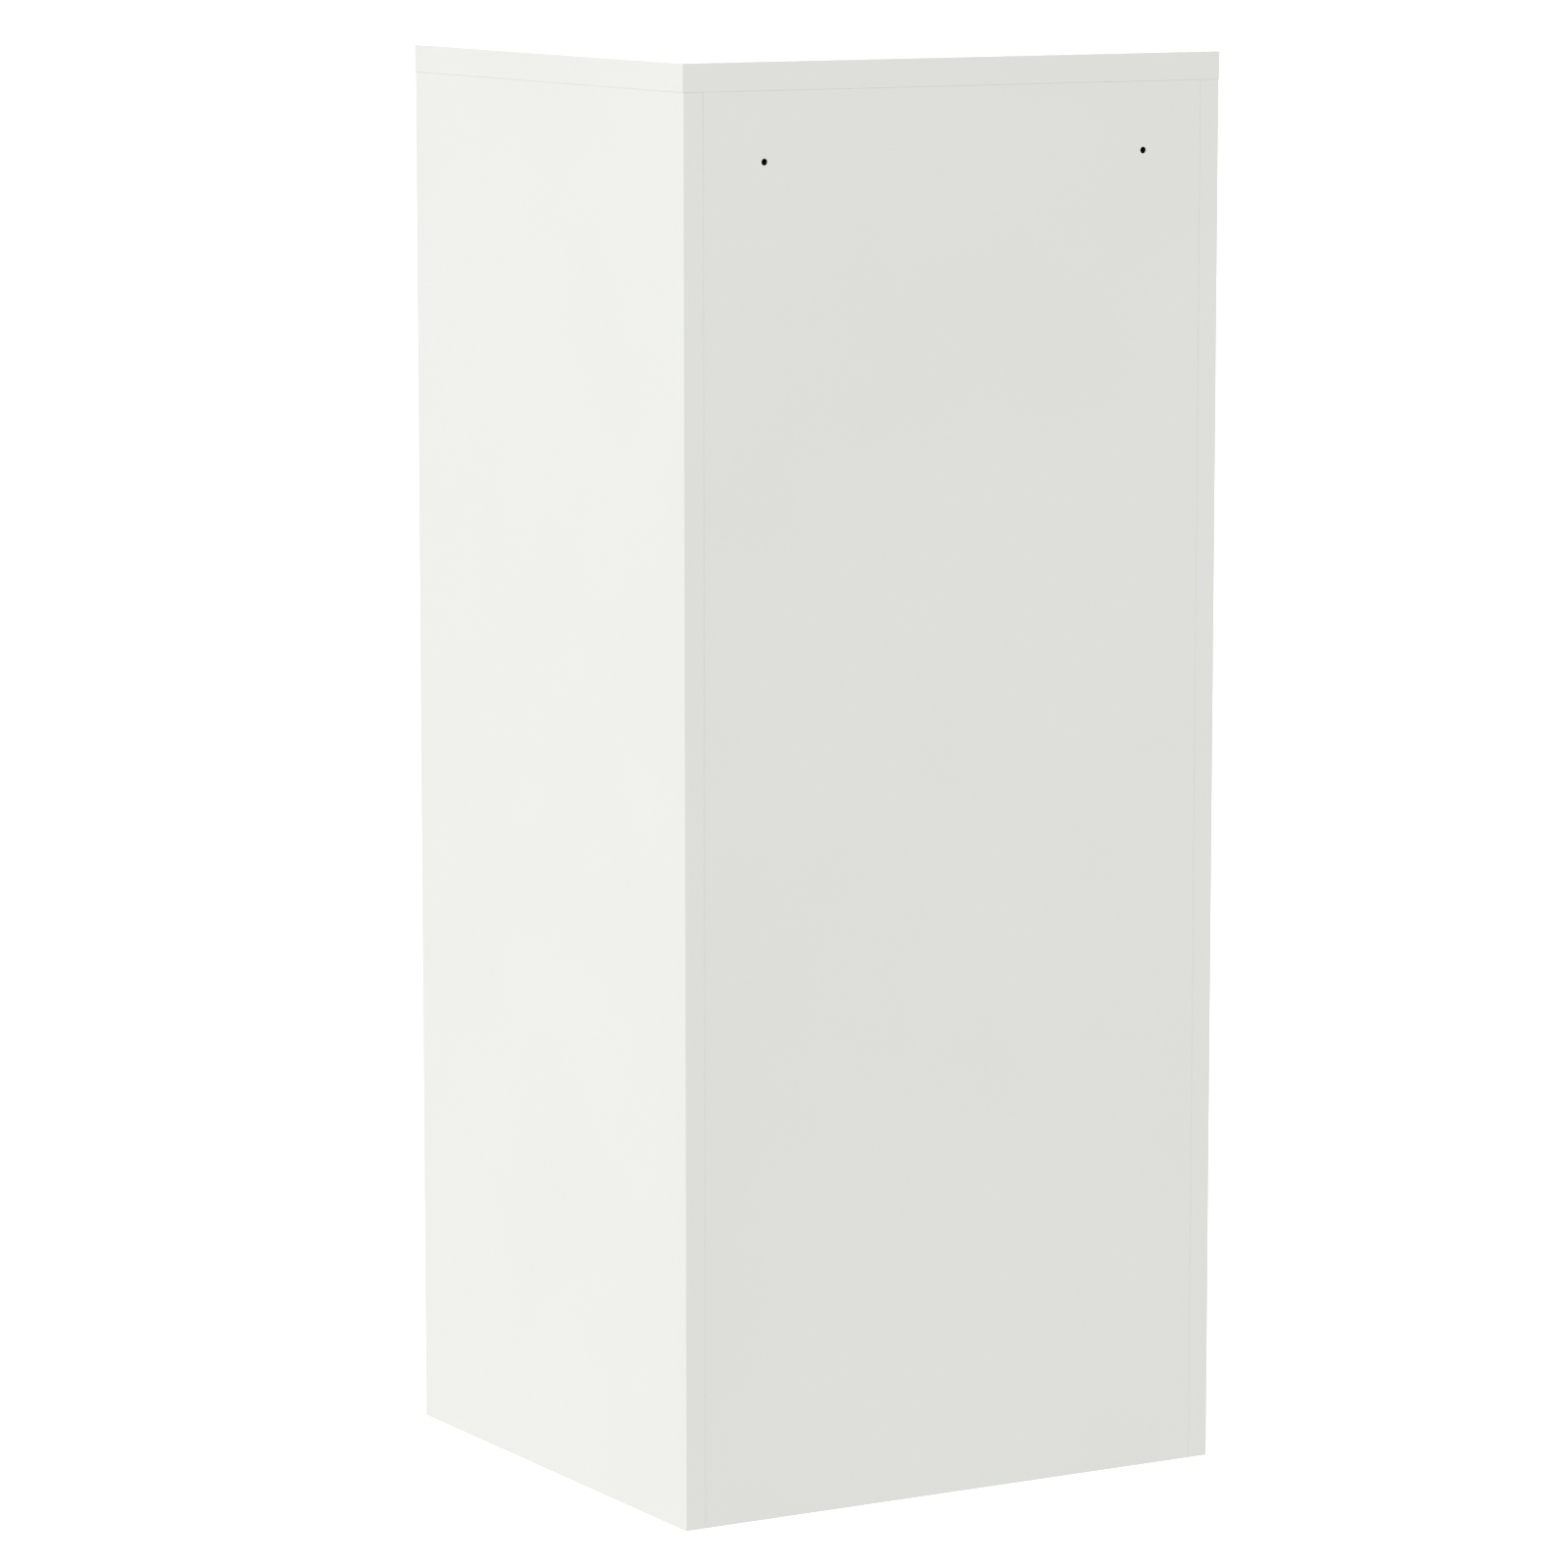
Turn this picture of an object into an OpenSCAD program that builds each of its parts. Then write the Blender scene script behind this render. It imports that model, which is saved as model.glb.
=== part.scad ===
// Sheet-steel locker cabinet with three lockers, one above the other.
// +Z is up, the doors face -Y, and the origin is the middle of the body's footprint on the floor.

/* [Cabinet] */
// Width over the side panels
cab_w = 385; // [320:1:470]
// Depth from the doors' front faces to the back
cab_d = 350; // [280:1:480]
// Height over the top cap
cab_h = 900; // [740:1:1150]
// Height of the top cap's skirt
cap_h = 17.5; // [14:0.5:28]
// Height of the plinth under the lowest locker
plinth_h = 30; // [24:1:60]
// Height of the rail between two doors
rail_h = 20; // [17:1:36]

/* [Sheet metal] */
// Thickness of every folded sheet
sheet_t = 0.8; // [0.6:0.05:1.1]
// Inside radius of a fold
fold_r = 0.2; // [0.1:0.05:0.6]
// Outside radius of the tight folds where the cap and the body meet
crease_r = 0.3; // [0.2:0.05:0.7]
// Width of the front stile beside the doors
stile_w = 20; // [14:1:32]
// Width of the side panel's return on the back
rear_return = 14; // [10:1:24]
// Width of the lip that the back panel is welded to
lip_w = 12; // [8:1:20]
// Gap between the back panel and the return beside it
seam_gap = 0.08; // [0.05:0.01:0.3]
// Width of the flanges that the cap and the body meet on
top_return = 14; // [12:1:24]
// Height of the welding flange round a shelf
shelf_flange = 12; // [8:1:16]
// How far the stop flange hangs behind a door's top edge
stop_drop = 14; // [13:1:20]
// Width of the foot fold along the bottom of the plinth
foot_fold = 14; // [10:1:24]
// Width of the stiffener under the bottom deck
deck_rib_w = 60; // [30:1:120]

/* [Doors] */
// Depth of a door, front face to back
door_d = 18; // [16:0.5:24]
// Gap round a door
door_gap = 2.5; // [2.3:0.1:4]
// Width of the fold round the back of a door
door_return = 12; // [10:1:18]
// Width of the stiffener inside a door
door_rib_w = 26; // [16:1:40]
// Depth of the stiffener inside a door
door_rib_d = 12; // [6:1:14]
// Distance from a door's middle to its stiffener
door_rib_x = 92; // [80:1:96]
// Thickness of a rubber buffer
buffer_t = 2.5; // [1.5:0.5:4]
// Radius of a rubber buffer
buffer_r = 4; // [2.5:0.5:4]
// Gap between a closed door and its buffers
buffer_gap = 0.3; // [0.2:0.1:1]

/* [Hinges] */
// Distance of the hinge pin from the door's edge and from its front face
pin_inset = 5; // [4.8:0.1:6]
// Radius of a hinge pin
pin_r = 2; // [1.5:0.1:2.2]
// Running clearance of pins in bushes and of the plug in its barrel, on the radius
run_fit = 0.05; // [0.02:0.01:0.1]
// Radius of a bush's body
bush_r = 3.2; // [2.8:0.1:3.6]
// Radius of a bush's flange
bush_flange_r = 4.6; // [4:0.1:4.8]
// Length of a bush's body
bush_len = 5; // [3:0.5:7]
// Thrust clearance between a door and its bush
thrust_gap = 0.3; // [0.2:0.1:0.8]

/* [Locks and keys] */
// Distance of the lock's axis from the door's edge
lock_inset = 22; // [20:1:26]
// Distance of the lock's axis below the handle's rim
lock_drop = 22; // [14:0.5:30]
// Radius of the lock's barrel
barrel_r = 9; // [8.5:0.1:10]
// Width across the barrel's two flats
barrel_flats = 16; // [15:0.5:17]
// Radius of the lock's front rim
rim_r = 11.5; // [11:0.1:13]
// Height of the lock's front rim
rim_t = 1.8; // [1.6:0.1:3]
// Radius of the rotating plug
plug_r = 6.5; // [6:0.1:7]
// Radius of the plug's head
plug_head_r = 7.5; // [7.2:0.1:8]
// Width of the plug's square tail
tail_w = 7; // [6:0.1:8]
// Width across the barrel nut's flats
barrel_nut_af = 22; // [21:1:24]
// Thickness of the barrel nut
barrel_nut_t = 4; // [3:0.5:6]
// Reach of the cam from the lock's axis
cam_reach = 34; // [32:1:38]
// Width of the cam
cam_w = 14; // [12:1:16]
// Thickness of the cam
cam_t = 2; // [1.5:0.5:3]
// Gap between the cam and the stile that it hooks behind
cam_gap = 0.8; // [0.5:0.1:2]
// Width of a key's blade
blade_w = 7.4; // [6:0.1:8]
// Thickness of a key's blade
blade_t = 2; // [1.6:0.1:2.4]
// Length of a key's blade inside the plug
blade_len = 17; // [14:0.5:17.5]
// Radius of a key's bow
bow_r = 11; // [9:0.5:13]

/* [Handles] */
// Height of a handle's rim
handle_h = 88; // [70:1:96]
// Width of a handle's rim
handle_w = 34; // [30:1:36]
// Thickness of the handle's rim and walls
handle_t = 1.6; // [1.2:0.1:2]
// Overlap of the rim on the door
handle_lap = 4; // [3:0.5:5]
// Depth of the finger recess behind the door's front face
recess_d = 13; // [10:0.5:13.5]
// Width of the lip that the fingers pull on
pull_lip = 6; // [4:0.5:8]
// Distance of the handle's rim below the door's top edge
handle_drop = 22.9; // [10:0.1:34]

/* [Card holders] */
// Width of a name card
card_w = 64; // [50:1:70]
// Height of a name card
card_h = 24; // [18:1:30]
// Thickness of a name card and of its clear cover
card_t = 0.4; // [0.3:0.05:0.6]
// Width of the frame's border round the card
card_border = 3; // [2.5:0.5:5]
// Width of each riveting lug
lug_w = 9; // [8:0.5:12]

/* [Louvres] */
// Length of a louvre
louvre_w = 110; // [60:1:130]
// Height and projection of a louvre
louvre_r = 5; // [3.5:0.5:5.5]
// Distance from one louvre to the next
louvre_pitch = 14; // [12:0.5:16]
// Distance from a door's end to its nearest louvre
louvre_margin = 30; // [24:1:36]
// Number of louvres in each of a door's two groups
louvre_count = 3; // [1:1:3]

/* [Wall fixing] */
// Radius of a wall-fixing hole
wall_hole_r = 2.15; // [1.5:0.05:3.5]
// Distance of each wall-fixing hole from the nearest side
wall_hole_in = 56.4; // [40:0.1:80]
// Distance of the wall-fixing holes below the top of the cap
wall_hole_down = 60.2; // [45:0.1:100]

/* [Hidden] */
$fn = 48;

powder_white = "#efefea";
zinc_grey = "#b9bcc0";
nickel_grey = "#cfd0cf";
moulded_grey = "#8b8f92";
rubber_black = "#2a2a2a";
nylon_white = "#e4e2d8";
card_white = "#f4f2ea";
clear_tint = [0.85, 0.9, 0.92, 0.35];

half_w = cab_w / 2;
half_d = cab_d / 2;
body_top = cab_h - cap_h;
front_y = -half_d;
tier_count = 3;
// The openings come in whole tenths of a millimetre, and the plinth takes up what is left.
opening_h = floor(10 * (body_top - plinth_h - (tier_count - 1) * rail_h) / tier_count) / 10;
deck_z = body_top - tier_count * opening_h - (tier_count - 1) * rail_h;
opening_w = cab_w - 2 * stile_w;
door_w = opening_w - 2 * door_gap;
door_h = opening_h - 2 * door_gap;
fold_out = fold_r + sheet_t;
fold_mid = fold_r + sheet_t / 2;

// The stop flange stands behind the buffers, and the stile's return ends in line with its back.
stop_y = front_y + door_d + buffer_gap + buffer_t;
stile_back_y = stop_y + sheet_t;
// Clearance between a deck's front corners and the stile that they reach into.
corner_fit = 0.2;
// The sheets that are welded inside end at the back panel's welding lips.
lip_y = half_d - 2 * sheet_t;
inner_half_w = half_w - sheet_t;
return_x = half_w - rear_return;

hinge_x = -door_w / 2 + pin_inset;
hinge_y = front_y + pin_inset;
pin_head_r = pin_r + 1;
pin_head_t = 1.2;
pin_tip = 1;
bush_flange_t = door_gap - thrust_gap;

lock_x = door_w / 2 - lock_inset;
cam_z = stile_back_y + cam_gap - front_y;
cam_run_gap = 0.3;
plug_head_t = 1.2;
head_gap = 0.05;
cam_hole_fit = 0.05;
barrel_fit = 0.1;
key_shoulder = 2;
keyway_fit = 0.2;
cam_screw_r = 2;
cam_screw_len = 5;
cam_washer_r = 6;
cam_washer_t = 0.8;
cam_screw_head_r = 4;
cam_screw_head_t = 2.4;

handle_fit = 0.2;
handle_corner = 6;
barb_h = 1.4;
barb_d = 3;

rivet_r = 1.6;
rivet_head_r = 3;
rivet_head_t = 1.1;
rivet_tail_r = 2.4;
rivet_tail_t = 1.4;
frame_t = 2;
frame_skin = 0.6;
card_overlap = 2;
card_fit = 0.3;

screw_r = 1.9;
screw_hole_fit = 0.25;
screw_head_r = 3.8;
screw_head_t = 2.4;
screw_len = 7;
buffer_stem_r = 1.5;
buffer_barb_r = 2.2;
buffer_barb_t = 1;

function opening_z(tier) = deck_z + tier * (opening_h + rail_h);
function middle_z(tier) = opening_z(tier) + opening_h / 2;
function handle_z(tier) = middle_z(tier) + door_h / 2 - handle_drop - handle_h / 2;
function lock_z(tier) = handle_z(tier) - handle_h / 2 - lock_drop;
function unit(v) = v / norm(v);

// ---- Shared shapes ----

// The quarter of a disc in the first quadrant.
module quarter_disc(r) {
    intersection() {
        circle(r = r);
        square(2 * r);
    }
}

// A rectangle about the origin with rounded corners.
module round_rect(w, h, r) {
    square([w - 2 * r, h], center = true);
    square([w, h - 2 * r], center = true);
    for (x = [0, 1])
        for (y = [0, 1])
            mirror([x, 0])
                mirror([0, y])
                    translate([w / 2 - r, h / 2 - r])
                        quarter_disc(r);
}

// Folded sheet seen edge-on. The path runs along the middle of the sheet, and each corner is a square fold.
module folded_strip(path) {
    last = len(path) - 1;
    for (i = [0 : last - 1]) {
        dir = unit(path[i + 1] - path[i]);
        half = [-dir.y, dir.x] * sheet_t / 2;
        from = path[i] + dir * (i == 0 ? 0 : fold_mid);
        to = path[i + 1] - dir * (i == last - 1 ? 0 : fold_mid);
        polygon([from - half, to - half, to + half, from + half]);
    }
    for (i = [1 : last - 1]) {
        in = unit(path[i] - path[i - 1]);
        out = unit(path[i + 1] - path[i]);
        centre = path[i] + (out - in) * fold_mid;
        reach = 2 * fold_out;
        intersection() {
            translate(centre)
                difference() {
                    circle(r = fold_out);
                    circle(r = fold_r);
                }
            polygon([centre, centre - out * reach, centre + (in - out) * reach, centre + in * reach]);
        }
    }
}

// Extrudes an outline drawn in Y and Z along X, over the given width about the middle.
module along_x(w) {
    rotate([90, 0, 90])
        linear_extrude(w, center = true)
            children();
}

// A block whose four depth-wise edges are square and whose other edges have the given radius.
module folded_block(w, h, depth, r) {
    intersection() {
        rotate([90, 0, 0])
            linear_extrude(h, center = true)
                round_rect(w, depth, r);
        rotate([90, 0, 90])
            linear_extrude(w, center = true)
                round_rect(h, depth, r);
    }
}

// A closed box of folded sheet about the origin, its depth along Z. The inside of its folds is left sharp.
module folded_box(w, h, depth, r) {
    difference() {
        folded_block(w, h, depth, r);
        cube([w - 2 * sheet_t, h - 2 * sheet_t, depth - 2 * sheet_t], center = true);
    }
}

// ---- Cabinet body ----

module cap_screw_places() {
    for (x = [-1, 1])
        for (y = [-1, 1])
            translate([x * (half_w - top_return / 2), y * cab_d / 3, body_top])
                children();
}

module top_cap() {
    stop_mid = stop_y + sheet_t / 2;
    window_y = stop_mid - fold_mid;
    window_d = half_d - top_return - window_y;
    color(powder_white)
        difference() {
            union() {
                difference() {
                    translate([0, 0, body_top + cap_h / 2])
                        folded_box(cab_w, cab_d, cap_h, crease_r);
                    translate([top_return - half_w, window_y, body_top - sheet_t])
                        cube([cab_w - 2 * top_return, window_d, 3 * sheet_t]);
                }
                along_x(opening_w)
                    folded_strip([[window_y - sheet_t, body_top + sheet_t / 2],
                                  [stop_mid, body_top + sheet_t / 2],
                                  [stop_mid, body_top - stop_drop]]);
            }
            cap_screw_places()
                translate([0, 0, -sheet_t])
                    cylinder(r = screw_r, h = 3 * sheet_t);
            translate([hinge_x, hinge_y, body_top - sheet_t])
                cylinder(r = bush_r, h = 3 * sheet_t);
            buffer_holes(tier_count - 1);
        }
}

// The right-hand panel: one sheet with the front stile, the plain side and the return on the back.
module side_panel() {
    joggle_x = return_x - seam_gap;
    color(powder_white)
        difference() {
            intersection() {
                union() {
                    linear_extrude(body_top)
                        folded_strip([[half_w - stile_w + sheet_t / 2, stile_back_y],
                                      [half_w - stile_w + sheet_t / 2, front_y + sheet_t / 2],
                                      [half_w - sheet_t / 2, front_y + sheet_t / 2],
                                      [half_w - sheet_t / 2, half_d - sheet_t / 2],
                                      [return_x, half_d - sheet_t / 2]]);
                    linear_extrude(body_top - 2 * fold_out)
                        polygon([[return_x, half_d], [joggle_x, half_d - sheet_t], [joggle_x - lip_w, half_d - sheet_t],
                                 [joggle_x - lip_w, lip_y], [return_x + sheet_t, lip_y],
                                 [return_x + 2 * sheet_t, half_d - sheet_t], [return_x + sheet_t, half_d]]);
                    translate([half_w - top_return, front_y + sheet_t / 2, body_top - sheet_t])
                        cube([top_return - sheet_t / 2, cab_d - sheet_t, sheet_t]);
                }
                rotate([90, 0, 0])
                    linear_extrude(2 * cab_d, center = true)
                        round_rect(cab_w, 2 * body_top, crease_r);
            }
            cap_screw_places()
                translate([0, 0, -2 * sheet_t])
                    cylinder(r = screw_r + screw_hole_fit, h = 3 * sheet_t);
        }
}

module side_panel_right() {
    side_panel();
}

module side_panel_left() {
    mirror([1, 0, 0])
        side_panel();
}

// A flat sheet between the two returns, folded forward at the top.
module back_panel() {
    panel_w = 2 * (return_x - seam_gap);
    color(powder_white)
        difference() {
            intersection() {
                union() {
                    translate([-panel_w / 2, half_d - sheet_t, 0])
                        cube([panel_w, sheet_t, body_top]);
                    translate([-panel_w / 2, half_d - top_return, body_top - sheet_t])
                        cube([panel_w, top_return, sheet_t]);
                }
                along_x(cab_w)
                    round_rect(cab_d, 2 * body_top, crease_r);
            }
            for (side = [-1, 1])
                translate([side * (half_w - wall_hole_in), half_d + sheet_t, cab_h - wall_hole_down])
                    rotate([90, 0, 0])
                        cylinder(r = wall_hole_r, h = 3 * sheet_t);
        }
}

// A deck from an edge-on path, with welding flanges down its sides. Only its flat top reaches into the stiles.
module deck(path, deck_top, flange_h) {
    notch_y = stile_back_y + sheet_t / 2;
    corner_x = half_w - stile_w + sheet_t + corner_fit;
    corner_y = front_y + fold_out;
    intersection() {
        union() {
            along_x(2 * inner_half_w)
                folded_strip(path);
            for (side = [-1, 1])
                translate([side * (inner_half_w - sheet_t / 2), (notch_y + lip_y) / 2, deck_top - flange_h / 2])
                    cube([sheet_t, lip_y - notch_y, flange_h], center = true);
        }
        union() {
            translate([-opening_w / 2, front_y - 1, 0])
                cube([opening_w, cab_d, cab_h]);
            translate([-inner_half_w, notch_y, 0])
                cube([2 * inner_half_w, lip_y - notch_y, cab_h]);
            for (side = [0, 1])
                mirror([side, 0, 0])
                    translate([corner_x, corner_y, deck_top - sheet_t])
                        cube([inner_half_w - corner_x, notch_y - corner_y + sheet_t, sheet_t]);
        }
    }
}

// The shelf above a tier. Its front folds into the rail between two doors and ends in the stop flange.
module shelf(tier) {
    deck_top = opening_z(tier + 1);
    deck_mid = deck_top - sheet_t / 2;
    rail_low = deck_top - rail_h + sheet_t / 2;
    stop_mid = stop_y + sheet_t / 2;
    color(powder_white)
        difference() {
            deck([[lip_y - sheet_t / 2, deck_top - shelf_flange],
                  [lip_y - sheet_t / 2, deck_mid],
                  [front_y + sheet_t / 2, deck_mid],
                  [front_y + sheet_t / 2, rail_low],
                  [stop_mid, rail_low],
                  [stop_mid, deck_top - rail_h - stop_drop]], deck_top, shelf_flange);
            translate([hinge_x, hinge_y, deck_top - rail_h - sheet_t])
                cylinder(r = bush_r, h = rail_h + 2 * sheet_t);
            buffer_holes(tier);
        }
}

module upper_shelf() {
    shelf(1);
}

module lower_shelf() {
    shelf(0);
}

// The bottom deck. Its front folds into the plinth and stands on the floor with a foot fold.
module base_pan() {
    deck_mid = deck_z - sheet_t / 2;
    color(powder_white)
        difference() {
            deck([[lip_y - sheet_t / 2, 0],
                  [lip_y - sheet_t / 2, deck_mid],
                  [front_y + sheet_t / 2, deck_mid],
                  [front_y + sheet_t / 2, sheet_t / 2],
                  [front_y + foot_fold, sheet_t / 2]], deck_z, deck_z);
            translate([hinge_x, hinge_y, deck_z - 2 * sheet_t])
                cylinder(r = bush_r, h = 3 * sheet_t);
        }
}

// A hat section welded across under the bottom deck. It carries the deck's middle on the floor.
module base_rib() {
    side_y = deck_rib_w / 2;
    weld_z = deck_z - 1.5 * sheet_t;
    weld_y = side_y + shelf_flange;
    color(powder_white)
        along_x(2 * (inner_half_w - sheet_t))
            folded_strip([[-weld_y, weld_z], [-side_y, weld_z], [-side_y, sheet_t / 2],
                          [side_y, sheet_t / 2], [side_y, weld_z], [weld_y, weld_z]]);
}

// A flanged nylon bush. Its flange faces +Z, towards the door.
module hinge_bush() {
    difference() {
        union() {
            cylinder(r = bush_flange_r, h = bush_flange_t);
            translate([0, 0, -bush_len])
                cylinder(r = bush_r, h = bush_len);
        }
        translate([0, 0, -bush_len - 1])
            cylinder(r = pin_r + run_fit, h = bush_len + bush_flange_t + 2);
    }
}

module hinge_bushes() {
    color(nylon_white)
        for (tier = [0 : tier_count - 1]) {
            translate([hinge_x, hinge_y, opening_z(tier)])
                hinge_bush();
            translate([hinge_x, hinge_y, opening_z(tier) + opening_h])
                mirror([0, 0, 1])
                    hinge_bush();
        }
}

// The two buffer places of a tier, with +Z turned towards the door.
module buffer_places(tier) {
    for (side = [-1, 1])
        translate([side * opening_w / 3, stop_y, opening_z(tier) + opening_h - door_gap - buffer_r - sheet_t])
            rotate([90, 0, 0])
                children();
}

module buffer_holes(tier) {
    buffer_places(tier)
        translate([0, 0, -2 * sheet_t])
            cylinder(r = buffer_stem_r, h = 3 * sheet_t);
}

module door_buffers() {
    color(rubber_black)
        for (tier = [0 : tier_count - 1])
            buffer_places(tier) {
                cylinder(r1 = buffer_r, r2 = 0.8 * buffer_r, h = buffer_t);
                translate([0, 0, -sheet_t])
                    cylinder(r = buffer_stem_r, h = sheet_t);
                translate([0, 0, -sheet_t - buffer_barb_t])
                    cylinder(r = buffer_barb_r, h = buffer_barb_t);
            }
}

module cap_screws() {
    color(zinc_grey)
        cap_screw_places() {
            translate([0, 0, -sheet_t - screw_head_t])
                cylinder(r = screw_head_r, h = screw_head_t);
            translate([0, 0, -sheet_t])
                cylinder(r = screw_r, h = screw_len);
        }
}

// ---- Doors ----

// A capsule along X, the shape that a louvre is pressed to.
module capsule(w, r) {
    rotate([0, 90, 0])
        rotate_extrude() {
            translate([0, r - w / 2])
                square([r, w - 2 * r]);
            for (end = [0, 1])
                mirror([0, end])
                    translate([0, w / 2 - r])
                        quarter_disc(r);
        }
}

// The upper half of a capsule, from its front to the given depth behind the door's front face.
module louvre_half(w, r, depth) {
    intersection() {
        capsule(w, r);
        translate([-w, -2 * r, 0])
            cube([2 * w, 2 * r + depth, 2 * r]);
    }
}

module louvre_places(tier) {
    for (end = [-1, 1])
        for (i = [0 : louvre_count - 1])
            translate([0, front_y, middle_z(tier) + end * (door_h / 2 - louvre_margin - i * louvre_pitch) - louvre_r / 2])
                children();
}

module handle_place(tier) {
    translate([lock_x, front_y, handle_z(tier)])
        rotate([90, 0, 0])
            children();
}

// Turns +Z to point into the cabinet from the lock's place on the door's front face.
module lock_place(tier) {
    translate([lock_x, front_y, lock_z(tier)])
        rotate([-90, 0, 0])
            children();
}

module rivet_places(tier) {
    for (side = [-1, 1])
        translate([side * (card_w / 2 + card_border + lug_w / 2), front_y, middle_z(tier)])
            rotate([90, 0, 0])
                children();
}

// The barrel's outline: a disc with two flats.
module barrel_outline(r, flats) {
    intersection() {
        circle(r = r);
        square([3 * r, flats], center = true);
    }
}

module door(tier) {
    window = 2 * door_return;
    color(powder_white)
        difference() {
            union() {
                translate([0, front_y + door_d / 2, middle_z(tier)])
                    rotate([90, 0, 0])
                        difference() {
                            folded_box(door_w, door_h, door_d, fold_out);
                            translate([0, 0, -door_d / 2])
                                cube([door_w - window, door_h - window, 3 * sheet_t], center = true);
                        }
                louvre_places(tier)
                    louvre_half(louvre_w, louvre_r, sheet_t / 2);
            }
            louvre_places(tier)
                louvre_half(louvre_w - 2 * sheet_t, louvre_r - sheet_t, 2 * sheet_t);
            translate([hinge_x, hinge_y, opening_z(tier)])
                cylinder(r = pin_r, h = opening_h);
            handle_place(tier)
                linear_extrude(4 * sheet_t, center = true)
                    round_rect(handle_w - 2 * handle_lap + 2 * handle_fit,
                               handle_h - 2 * handle_lap + 2 * handle_fit, handle_corner - handle_lap);
            lock_place(tier)
                linear_extrude(4 * sheet_t, center = true)
                    barrel_outline(barrel_r + barrel_fit, barrel_flats + 2 * barrel_fit);
            rivet_places(tier)
                cylinder(r = rivet_r, h = 4 * sheet_t, center = true);
        }
}

// A hat section welded up the inside of the door.
module door_rib(tier) {
    near = front_y + 1.5 * sheet_t;
    far = front_y + sheet_t + door_rib_d;
    left = door_rib_x - door_rib_w / 2;
    right = door_rib_x + door_rib_w / 2;
    weld = 8;
    color(powder_white)
        translate([0, 0, middle_z(tier)])
            linear_extrude(door_h - 2 * sheet_t, center = true)
                folded_strip([[left - weld, near], [left, near], [left, far],
                              [right, far], [right, near], [right + weld, near]]);
}

// A headed pin pushed out through the door's end flange. Its tip points along +Z, past the bush.
module hinge_pin() {
    translate([0, 0, -sheet_t - pin_head_t])
        cylinder(r = pin_head_r, h = pin_head_t);
    translate([0, 0, -sheet_t])
        cylinder(r = pin_r, h = sheet_t + door_gap + bush_len + pin_tip);
}

module hinge_pins(tier) {
    color(zinc_grey)
        for (end = [0, 1])
            translate([hinge_x, hinge_y, middle_z(tier)])
                mirror([0, 0, end])
                    translate([0, 0, door_h / 2])
                        hinge_pin();
}

// A moulded cup. Its mouth is offset, so a lip is left on the lock side for the fingers.
module handle(tier) {
    body_w = handle_w - 2 * handle_lap;
    body_h = handle_h - 2 * handle_lap;
    corner = handle_corner - handle_lap;
    recess_w = body_w - 2 * handle_t;
    recess_h = body_h - 2 * handle_t;
    color(moulded_grey)
        handle_place(tier) {
            difference() {
                union() {
                    linear_extrude(handle_t)
                        round_rect(handle_w, handle_h, handle_corner);
                    translate([0, 0, -recess_d - handle_t])
                        linear_extrude(recess_d + 1.5 * handle_t)
                            round_rect(body_w, body_h, corner);
                }
                translate([0, 0, -recess_d / 2])
                    cube([recess_w, recess_h, recess_d], center = true);
                translate([-pull_lip / 2, 0, 0])
                    cube([recess_w - pull_lip, recess_h, 4 * handle_t], center = true);
            }
            for (end = [0, 1])
                mirror([0, end, 0])
                    translate([0, body_h / 2, -sheet_t])
                        rotate([0, -90, 0])
                            linear_extrude(body_w / 3, center = true)
                                polygon([[0, -handle_t / 2], [0, barb_h], [-barb_d, 0], [-barb_d, -handle_t / 2]]);
        }
}

// A pressed frame, open at the top so that the card slides in.
module card_frame(tier) {
    outer_w = card_w + 2 * card_border;
    outer_h = card_h + 2 * card_border;
    slot_w = card_w + 2 * card_fit;
    slot_h = card_h + 2 * card_fit;
    color(nickel_grey)
        translate([0, front_y, middle_z(tier)])
            rotate([90, 0, 0])
                difference() {
                    union() {
                        linear_extrude(frame_t)
                            round_rect(outer_w, outer_h, card_border / 2);
                        linear_extrude(frame_skin)
                            round_rect(outer_w + 2 * lug_w, outer_h / 2, lug_w / 3);
                    }
                    translate([-slot_w / 2, -slot_h / 2, -1])
                        cube([slot_w, slot_h + outer_h, frame_t - frame_skin + 1]);
                    cube([card_w - 2 * card_overlap, card_h - 2 * card_overlap, 4 * frame_t], center = true);
                    for (side = [-1, 1])
                        translate([side * (card_w / 2 + card_border + lug_w / 2), 0, 0])
                            cylinder(r = rivet_r, h = 4 * frame_t, center = true);
                }
}

// The card lies on the door, and the clear cover lies on the card.
module card(tier) {
    color(card_white)
        translate([0, front_y - card_t / 2, middle_z(tier)])
            cube([card_w, card_t, card_h], center = true);
}

module card_cover(tier) {
    color(clear_tint)
        translate([0, front_y - 1.5 * card_t, middle_z(tier)])
            cube([card_w, card_t, card_h], center = true);
}

module card_rivets(tier) {
    color(nickel_grey)
        rivet_places(tier) {
            translate([0, 0, -sheet_t])
                cylinder(r = rivet_r, h = sheet_t + frame_skin);
            translate([0, 0, frame_skin])
                cylinder(r1 = rivet_head_r, r2 = rivet_r, h = rivet_head_t);
            translate([0, 0, -sheet_t - rivet_tail_t])
                cylinder(r = rivet_tail_r, h = rivet_tail_t);
        }
}

// ---- Locks and keys ----

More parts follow.
